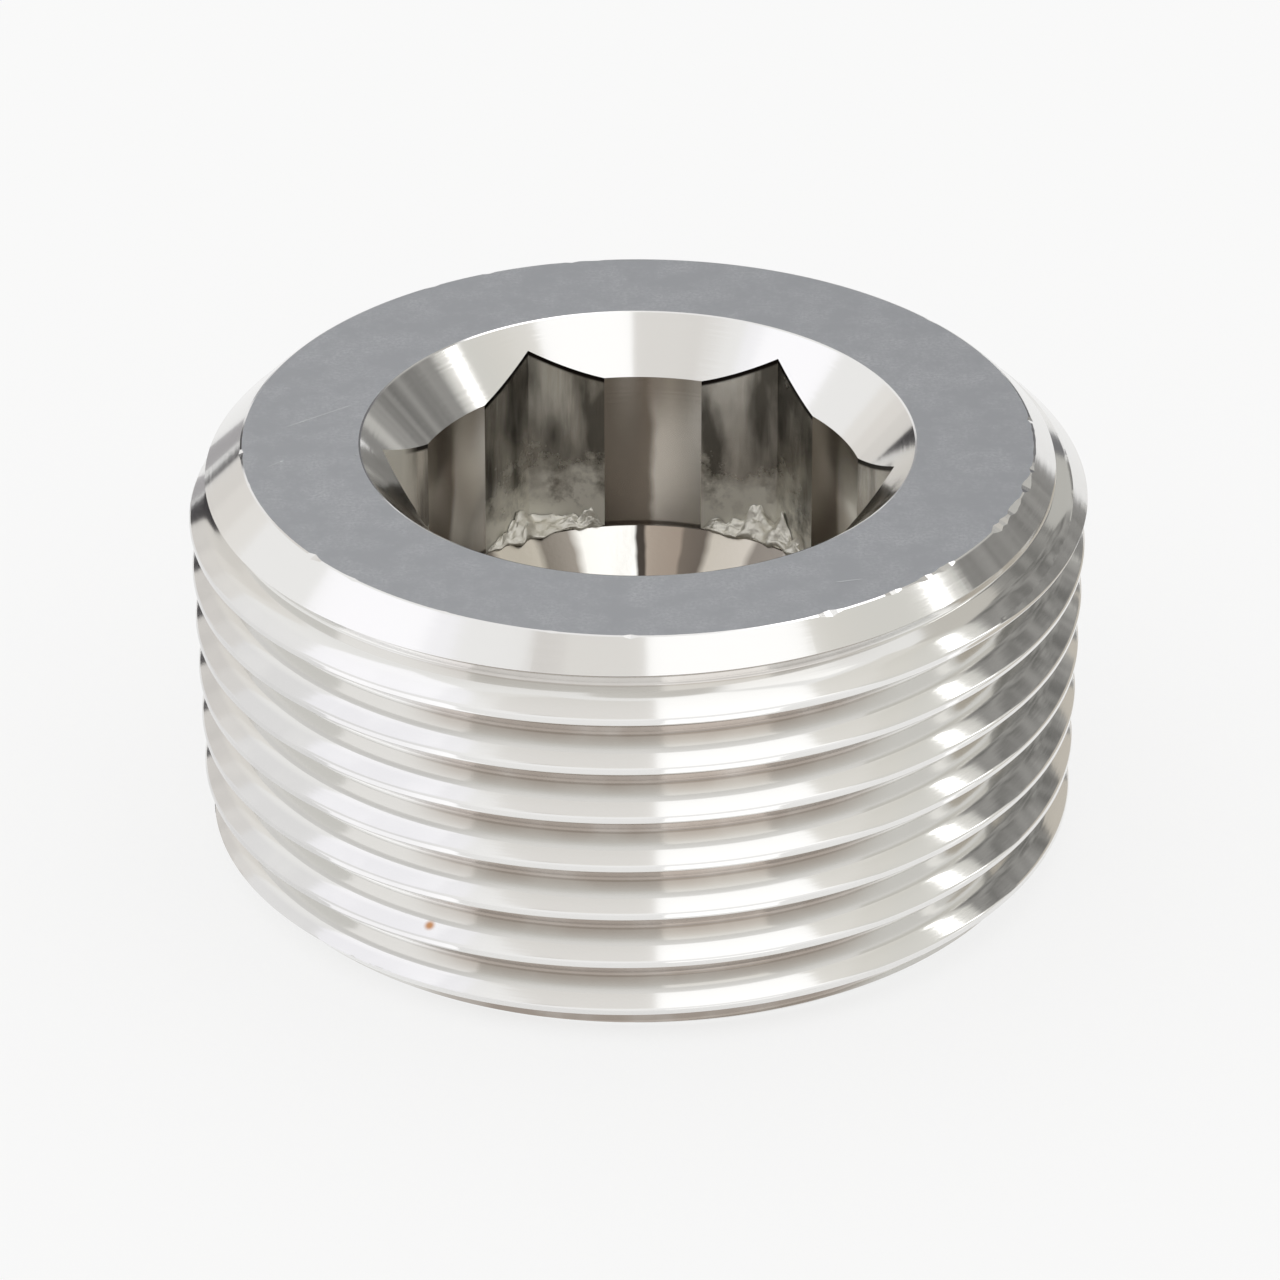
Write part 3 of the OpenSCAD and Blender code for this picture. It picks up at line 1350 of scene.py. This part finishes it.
@dataclass
class BroachChips:
    """The chips that the broach pushed down: curled on the ledge in each corner, and pressed flat below it.

    Attributes:
        sizes: The plug's sizes.
        curled: The finish of the curled chips.
        pressed: The finish of the pressed chips.
        along: Steps along each ledge.
        across: Steps from the pilot hole's edge to the wall.
        lip_mm: How far the curled chips hang over the pilot hole at most.
        height_mm: How high they are piled at most.
        lowest_pile: Height of the lowest pile, as a share of that.
        ledge_share: How much of the ledge's length they cover.
        pile_waves: How closely the piles and the overhangs follow each other along a ledge.
        fold_waves: How closely the folds follow each other along a ledge, and across it.
        rise: How high a pile is at its inner edge, how much it grows from there to the wall, and how much
            the folds add, each as a share of its height.
        stir_deg: How far a point is moved round the axis at most, so that the folds lie unevenly.
        wall_gap_mm: How far they stay off the wall.
        seed_step: How far apart in the noise the corners lie.
        skirt_mm: How far their inner edge goes down behind the pilot hole's edge.
        ring_steps: Steps round the pressed chips.
        ring_rows: Steps down them.
        slope_mm: How far the pressed chips reach inwards from the pilot hole's wall, and as far down.
        dent_mm: Depth of their dents.
        dents: How many dents a radius is wide, and how many the slope is long.
        ring_gap_mm: How far they stay off the pilot hole's wall.
        ring_drop_mm: How far below the ledge they start.
    """

    sizes: PlugSizes
    curled: SteelFinish
    pressed: SteelFinish
    along: int = 44
    across: int = 12
    lip_mm: float = 0.3
    height_mm: float = 1.15
    lowest_pile: float = 0.25
    ledge_share: float = 0.98
    rise: tuple[float, float, float] = (0.1, 0.62, 0.3)
    pile_waves: float = 2.2
    fold_waves: tuple[float, float] = (6.5, 3.5)
    stir_deg: float = 1.146
    wall_gap_mm: float = 0.02
    seed_step: float = 7.3
    skirt_mm: float = 0.05
    ring_steps: int = 240
    ring_rows: int = 8
    slope_mm: float = 1.5
    dent_mm: float = 0.035
    dents: tuple[float, float] = (9.0, 2.0)
    ring_gap_mm: float = 0.01
    ring_drop_mm: float = 0.04

    def build(self) -> bpy.types.Object:
        """Build all the chips as one piece.

        Returns:
            The chips, with their two finishes.
        """
        chips = Mesh()
        for corner in range(6):
            self.add_corner(chips, corner)
        self.add_ring(chips)
        curled, pressed = self.curled.material(), self.pressed.material()
        materials = [pressed if surface is Surface.PILOT_WALL else curled for surface in Surface]
        piece = chips.to_object("broach_chips", materials)
        piece.data.polygons.foreach_set("use_smooth", [True] * len(piece.data.polygons))
        return piece

    def add_ring(self, chips: Mesh) -> None:
        """Add the chips that lie pressed in the foot of the pilot hole, sloping from its wall to its floor.

        Args:
            chips: The mesh that they are added to.
        """
        sizes = self.sizes
        first, row = len(chips.points), self.ring_rows + 1
        top_r, top_z = sizes.pilot_d / 2 - self.ring_gap_mm, sizes.key_floor_z - self.ring_drop_mm
        for i in range(self.ring_steps):
            angle = 2 * math.pi * i / self.ring_steps
            x, y = math.cos(angle), math.sin(angle)
            for j in range(row):
                share = j / self.ring_rows
                spot = Vector((x * self.dents[0], y * self.dents[0], share * self.dents[1]))
                r = top_r - self.slope_mm * share
                z = top_z - self.slope_mm * share + self.dent_mm * noise.noise(spot) * share
                chips.points.append((r * x, r * y, z))
        for i in range(self.ring_steps):
            here, there = first + i * row, first + (i + 1) % self.ring_steps * row
            for j in range(self.ring_rows):
                chips.add_face((here + j, here + j + 1, there + j + 1, there + j), Surface.PILOT_WALL)

    def wall_r(self, turn: float) -> float:
        """Distance from the axis at which the curled chips end.

        Args:
            turn: Angle from the hexagon's corner, in radians.

        Returns:
            The distance, just short of the wall.
        """
        return self.sizes.key_size / 2 / math.cos(math.radians(30) - turn) - self.wall_gap_mm

    def add_corner(self, chips: Mesh, corner: int) -> None:
        """Add the crumpled chips of one corner.

        Args:
            chips: The mesh that they are added to.
            corner: Which corner, from 0 to 5.
        """
        sizes = self.sizes
        middle = math.radians(sizes.key_corner_angle + 60 * corner)
        bore_r = sizes.pilot_d / 2
        reach = math.radians(30) - math.acos(sizes.key_size / 2 / bore_r)
        seed_x = self.seed_step * corner
        stir = math.radians(self.stir_deg)
        edge, growth, folds = self.rise
        first, row = len(chips.points), self.across + 1
        for i in range(self.along + 1):
            side = 2 * i / self.along - 1
            turn = side * reach * self.ledge_share
            seed = Vector((seed_x, side * self.pile_waves, 0.0))
            pile_noise = abs(noise.noise(seed + Vector((0, 0, 3.1))))
            pile = self.lowest_pile + (1 - self.lowest_pile) * 2 * pile_noise
            lip = self.lip_mm * max(0.0, noise.noise(seed * 1.7 + Vector((4.2, 0, 0))) + 0.35)
            ends = 1 - side**6
            for j in range(row):
                share = j / self.across
                r = bore_r - lip * (1 - share) * ends + (self.wall_r(abs(turn)) - bore_r) * share
                fold_spot = (seed_x + side * self.fold_waves[0], share * self.fold_waves[1], 0.7)
                fold = noise.turbulence(fold_spot, 4, False)
                rise = self.height_mm * ends * pile * (edge + growth * share + folds * fold * (0.4 + share))
                angle = middle + turn + stir * noise.noise((side * 6, share * 6, corner))
                r = min(r, self.wall_r(min(abs(angle - middle), reach)))
                z = sizes.key_floor_z + max(0.01, rise)
                chips.points.append((r * math.cos(angle), r * math.sin(angle), z))
        for i in range(self.along):
            for j in range(self.across):
                low = first + i * row + j
                chips.add_face((low, low + 1, low + row), Surface.HEXAGON_LEDGE)
                chips.add_face((low + 1, low + row + 1, low + row), Surface.HEXAGON_LEDGE)
        skirt = len(chips.points)
        for i in range(self.along + 1):
            x, y, _ = chips.points[first + i * row]
            chips.points.append((x * 1.01, y * 1.01, sizes.key_floor_z - self.skirt_mm))
        for i in range(self.along):
            top, foot = first + i * row, skirt + i
            chips.add_face((top, top + row, foot + 1, foot), Surface.HEXAGON_LEDGE)


@dataclass
class PhotoCamera:
    """A long lens at the photograph's angle.

    Attributes:
        distance_mm: Distance from the middle of the small end's face.
        elevation_deg: How far the camera looks down.
        focal_mm: Focal length.
        sensor_mm: Width of the sensor.
        near_mm: Distance at which its view starts.
        aim_mm: The point in the middle of the view.
    """

    distance_mm: float = 221.5
    elevation_deg: float = 30.97
    focal_mm: float = 225.0
    sensor_mm: float = 36.0
    near_mm: float = 5.0
    aim_mm: Point = (0.06, 0.0, 5.47)

    def build(self) -> bpy.types.Object:
        """Add the camera and make it the scene's own.

        Returns:
            The camera.
        """
        lens = bpy.data.cameras.new("photo_camera")
        lens.lens = self.focal_mm
        lens.sensor_width = self.sensor_mm
        lens.clip_start = self.near_mm * MM
        camera = add_object("photo_camera", lens)
        tilt = math.radians(self.elevation_deg)
        camera.location = Vector((0, -math.cos(tilt), math.sin(tilt))) * self.distance_mm * MM
        look = Vector(self.aim_mm) * MM - camera.location
        camera.rotation_euler = look.to_track_quat("-Z", "Y").to_euler()
        bpy.context.scene.camera = camera
        return camera


@dataclass(frozen=True)
class Card:
    """A card in the studio that only reflections see: a curved wall round the plug.

    Attributes:
        name: Name of the card.
        from_deg: Where it starts, in degrees to the right of the camera's side.
        to_deg: Where it ends.
        low_deg: Height of its lower edge, as an angle above the table.
        high_deg: Height of its upper edge.
        colour: sRGB hex code of the card.
        level: Brightness, where 1 shows the colour as it is written.
        radius: Distance from the plug in metres.
        shade: sRGB hex code of the darker clouds on it, or nothing for a plain card.
    """

    name: str
    from_deg: float
    to_deg: float
    low_deg: float
    high_deg: float
    colour: str
    level: float = 1.0
    radius: float = 0.6
    shade: str = ""

    def turns(self) -> list[float]:
        """Angles of its points round the plug, in radians to the right of the camera's side."""
        turns = [self.from_deg] + spread(self.from_deg, self.to_deg, CARD_STEPS)
        return [math.radians(turn) for turn in turns]

    def shape(self) -> tuple[list[Vector], list[tuple[int, ...]]]:
        """Make the points and faces of a piece of a sphere round the plug.

        Returns:
            Its points in metres, and its faces.
        """
        points = []
        for turn in self.turns():
            for rise_deg in [self.low_deg] + spread(self.low_deg, self.high_deg, CARD_STEPS):
                rise = math.radians(rise_deg)
                level = Vector((math.sin(turn), -math.cos(turn), 0)) * math.cos(rise)
                points.append((level + Vector((0, 0, math.sin(rise)))) * self.radius)
        row = CARD_STEPS + 1
        corners = [i * row + j for i in range(CARD_STEPS) for j in range(CARD_STEPS)]
        return points, [(corner, corner + 1, corner + row + 1, corner + row) for corner in corners]

    def glow(self) -> bpy.types.Material:
        """Build its light: its colour, or clouds of its shade in its colour.

        Returns:
            The material.
        """
        material = bpy.data.materials.new(self.name)
        tree = fresh_tree(material)
        colour = linear_colour(self.colour)
        if self.shade:
            place = add_node(tree, "TexCoord", output="Object")
            inputs = {"Vector": place, "Scale": CARD_CLOUDS / self.radius, "Detail": 4.0, "Roughness": 0.65}
            share = add_node(tree, "MapRange", {0: add_node(tree, "TexNoise", inputs), 1: 0.38, 2: 0.6})
            inputs = {0: share, 6: linear_colour(self.shade), 7: colour}
            colour = add_node(tree, "Mix", inputs, 2, data_type="RGBA")
        light = add_node(tree, "Emission", {"Color": colour, "Strength": self.level})
        add_node(tree, "OutputMaterial", {"Surface": light})
        return material

    def build(self) -> bpy.types.Object:
        """Build the card, which nothing but reflections sees.

        Returns:
            The card.
        """
        data = bpy.data.meshes.new(self.name)
        points, faces = self.shape()
        data.from_pydata(points, [], faces)
        data.materials.append(self.glow())
        card = add_object(self.name, data)
        card.visible_camera = False
        card.visible_diffuse = False
        card.visible_shadow = False
        card.visible_volume_scatter = False
        return card


@dataclass(frozen=True)
class TableCard(Card):
    """A card that lies on the table: the stretch that two rays leaving the plug's side take in.

    The two angles say where the rays leave the plug. Each goes on at nearly twice its angle, as a mirrored
    ray does. The heights aren't used.

    Attributes:
        near: Distance from the plug's side at which the card starts, in metres.
        far: Distance at which it ends, in metres.
        side: Radius of the plug's side, in metres.
        mirrored: How many times its own angle a ray goes on at.
        lift: Height above the table, in metres.
    """

    near: float = 0.002
    far: float = 0.08
    side: float = 0.012
    mirrored: float = 1.9
    lift: float = 0.00002

    def shape(self) -> tuple[list[Vector], list[tuple[int, ...]]]:
        """Make the points and faces of a fan on the table.

        Returns:
            Its points in metres, and its faces.
        """
        points = []
        for turn in self.turns():
            start = Vector((math.sin(turn), -math.cos(turn), 0)) * self.side + Vector((0, 0, self.lift))
            run = Vector((math.sin(self.mirrored * turn), -math.cos(self.mirrored * turn), 0))
            points += [start + run * self.near, start + run * self.far]
        corners = range(0, 2 * CARD_STEPS, 2)
        return points, [(corner, corner + 1, corner + 3, corner + 2) for corner in corners]


@dataclass
class Studio:
    """A plain pale floor, a white surround, soft light, and the cards that the steel reflects.

    Attributes:
        floor_radius: Radius of the round table top in metres.
        floor_steps: Steps round its edge.
        floor_colour: sRGB hex code of its matt card.
        floor_glow: How much of it looks plain white to the camera and to the steel.
        light_level: Brightness of the surround as a light.
        cards: The cards.
    """

    floor_radius: float = 0.55
    floor_steps: int = 96
    floor_colour: str = "#f6f6f5"
    floor_glow: float = 0.7
    light_level: float = 0.9
    cards: tuple[Card, ...] = (
        Card("grey_card_back", 171, 199, 6, 56, "#adadb0"),
        Card("grey_card_back_right", 153, 171, 6, 56, "#79797c"),
        Card("softbox_back_top", 128, 178, 56, 70, "#ffffff", 2.4),
        Card("dark_slot_low", 204.5, 214, -4, 3.5, "#4a484a"),
        Card("dark_slot_left", 202, 214, 3.5, 24, "#454345"),
        Card("pale_card_left", 214, 222, 2, 44, "#e6e3df"),
        Card("pale_card_left_middle", 222, 229, 2, 44, "#eeebe7"),
        Card("pale_card_left_end", 229, 236, 2, 44, "#f6f4f1"),
        Card("mid_card_right", 140, 153, 9, 55, "#c8c7c3"),
        Card("dark_card_low_right", 140, 152, 3, 9, "#8b8a88"),
        Card("dark_card_right", 104, 140, 3, 42, "#a9a8a5", shade="#6a6967"),
        Card("upper_card_right", 104, 140, 42, 55, "#d3d0ca"),
        Card("strip_right", 94.6, 98.4, 22, 45.2, "#ffffff", 3.0, 0.59),
        Card("pale_card_right", 59, 104, 8, 48, "#e2e1dc"),
        Card("pale_card_upper_right", 59, 104, 48, 52, "#e6e4de"),
        Card("pale_card_top_right", 59, 104, 52, 60, "#eeece7"),
        Card("softbox_front", 3.5, 59, 40, 81, "#ffffff", 1.25),
        Card("softbox_top_right", 76, 102, 64, 81, "#ffffff", 1.25),
        Card("ceiling_card", 0, 360, 82, 90, "#dcdad6"),
        Card("pale_card_front", -26, 3, 45, 58.5, "#f0eeea"),
        Card("grey_band_front", -38, -26, 45, 58.5, "#e2dfdc"),
        Card("pale_card_high", -54, 3, 58.5, 75, "#eeece9"),
        Card("pale_card_high_left", -66, -54, 58.5, 75, "#f7f6f4"),
        Card("softbox_left", -103, -70, 33, 60, "#fbfbff", 1.25),
        Card("softbox_left_edge", -70, -62, 33, 58.5, "#fbfbff", 1.12),
        Card("standing_card_right", 96, 130, 0, 15.5, "#ccc6bc", 1.0, 0.04),
        TableCard("table_card_right", 48.5, 80, 0, 0, "#ccc6bc", near=0.015, far=0.12),
        TableCard("table_strip_right", 45, 47.2, 0, 0, "#ffffff", 1.3, near=0.006, far=0.12),
        TableCard("table_softbox_left", -45.5, -24.5, 0, 0, "#fdfdff", 1.3),
        TableCard("table_softbox_front", 3.5, 19.0, 0, 0, "#ffffff", 1.3, near=0.004),
        TableCard("table_slot_left", -84, -80, 0, 0, "#b0aeb0", near=0.05, far=0.3),
    )

    def build(self) -> None:
        """Build the floor, the surround, the light and the cards."""
        self.build_floor()
        self.build_world()
        for card in self.cards:
            card.build()

    def build_floor(self) -> bpy.types.Object:
        """Build the round table top: matt card, lightened where the camera or the steel sees it.

        Returns:
            The table top.
        """
        turns = [2 * math.pi * i / self.floor_steps for i in range(self.floor_steps)]
        ring = [Vector((math.cos(turn), math.sin(turn), 0)) * self.floor_radius for turn in turns]
        data = bpy.data.meshes.new("floor")
        data.from_pydata(ring, [], [tuple(range(self.floor_steps))])
        material = bpy.data.materials.new("white_matt_card")
        tree = fresh_tree(material)
        share = add_node(tree, "Math", {0: seen_share(tree), 1: self.floor_glow}, operation="MULTIPLY")
        matt = add_node(tree, "BsdfDiffuse", {"Color": linear_colour(self.floor_colour)})
        white = add_node(tree, "Emission", {"Color": grey(1.0), "Strength": 1.0})
        mixed = add_node(tree, "MixShader", {0: share, 1: matt, 2: white})
        add_node(tree, "OutputMaterial", {"Surface": mixed})
        data.materials.append(material)
        floor = add_object("floor", data)
        return floor

    def build_world(self) -> None:
        """Build the white surround: plain soft light, and white where the camera or the steel sees it."""
        world = bpy.data.worlds.new("white_surround")
        bpy.context.scene.world = world
        tree = fresh_tree(world)
        light = add_node(tree, "Background", {"Color": grey(self.light_level), "Strength": 1.0})
        white = add_node(tree, "Background", {"Color": grey(1.0), "Strength": 1.0})
        mixed = add_node(tree, "MixShader", {0: seen_share(tree), 1: light, 2: white})
        add_node(tree, "OutputWorld", {"Surface": mixed})


def plug_finishes(sizes: PlugSizes) -> dict[Surface, SteelFinish]:
    """Choose the finish of each of the plug's surfaces.

    Args:
        sizes: The plug's sizes.

    Returns:
        A finish for every surface.
    """
    faced = FacedFinish(
        "faced_stainless_steel",
        "#ebeced",
        roughness=0.42,
        mark_mm=0.08,
        mark_depth_mm=0.003,
    )
    turned = TurnedFinish(
        "turned_stainless_steel",
        "#e8e7e5",
        roughness=0.12,
        mark_mm=0.09,
        mark_depth_mm=0.0008,
        anisotropy=0.7,
    )
    threaded = ThreadFinish(
        "thread_cut_stainless_steel",
        "#ebeae8",
        roughness=0.1,
        mark_mm=0.09,
        mark_depth_mm=0.0004,
        anisotropy=0.3,
        sizes=sizes,
    )
    broached = BroachedFinish(
        "broached_stainless_steel",
        "#d6d4cf",
        roughness=0.24,
        mark_mm=0.16,
        mark_depth_mm=0.006,
        sizes=sizes,
    )
    # Its colour is the painted highlight on the pilot wall.
    drilled = DrilledFinish(
        "drilled_stainless_steel",
        "#f6f5f2",
        roughness=0.22,
        mark_mm=0.11,
        mark_depth_mm=0.0008,
        anisotropy=0.6,
        sizes=sizes,
    )
    point = TurnedFinish(
        "drill_point_stainless_steel",
        "#b5afa7",
        roughness=0.24,
        mark_mm=0.11,
        mark_depth_mm=0.0008,
        anisotropy=0.5,
    )
    return {
        Surface.THREAD: threaded,
        Surface.SMALL_FACE: faced,
        Surface.SMALL_CHAMFER: turned,
        Surface.LARGE_CHAMFER: turned,
        Surface.LARGE_FACE: faced,
        Surface.RIM: turned,
        Surface.COUNTERSINK: turned,
        Surface.HEXAGON_WALL: broached,
        Surface.HEXAGON_LEDGE: broached,
        Surface.PILOT_WALL: drilled,
        Surface.DRILL_POINT: point,
    }


def chip_finishes(sizes: PlugSizes) -> tuple[SteelFinish, SteelFinish]:
    """Choose the finishes of the curled and of the pressed chips.

    Args:
        sizes: The plug's sizes.

    Returns:
        The finish of the curled chips, and that of the pressed ones.
    """
    # Where the bands of painted highlight and shade start, from a corner.
    corner_to_bands_deg = 4.5
    curled = SteelFinish(
        "torn_stainless_steel",
        "#dedbd2",
        roughness=0.5,
        mark_mm=0.06,
        mark_depth_mm=0.012,
    )
    pressed = PressedFinish(
        "pressed_stainless_steel",
        "#ffffff",
        roughness=0.3,
        mark_mm=0.12,
        mark_depth_mm=0.006,
        start_deg=sizes.key_corner_angle + corner_to_bands_deg,
    )
    return curled, pressed


def corners(box: tuple[Vector, Vector]) -> list[list[float]]:
    """Turn a box into plain lists of numbers."""
    return [list(corner) for corner in box]


def main() -> None:
    """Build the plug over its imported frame, then the studio and the camera."""
    logging.basicConfig(level=logging.INFO, format="%(name)s: %(message)s")
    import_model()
    sizes = PlugSizes.from_frame("plug_body")
    body = PlugBody(sizes, plug_finishes(sizes)).build()
    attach(body, "root")
    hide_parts("plug_body")
    LOG.info("%s: %d faces", body.name, len(body.data.polygons))
    curled, pressed = chip_finishes(sizes)
    chips = BroachChips(sizes, curled, pressed).build()
    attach(chips, "root")
    LOG.info("%s: %d faces", chips.name, len(chips.data.polygons))
    Studio().build()
    PhotoCamera().build()
    bpy.context.scene.view_settings.view_transform = "Standard"


if __name__ == "__main__":
    main()
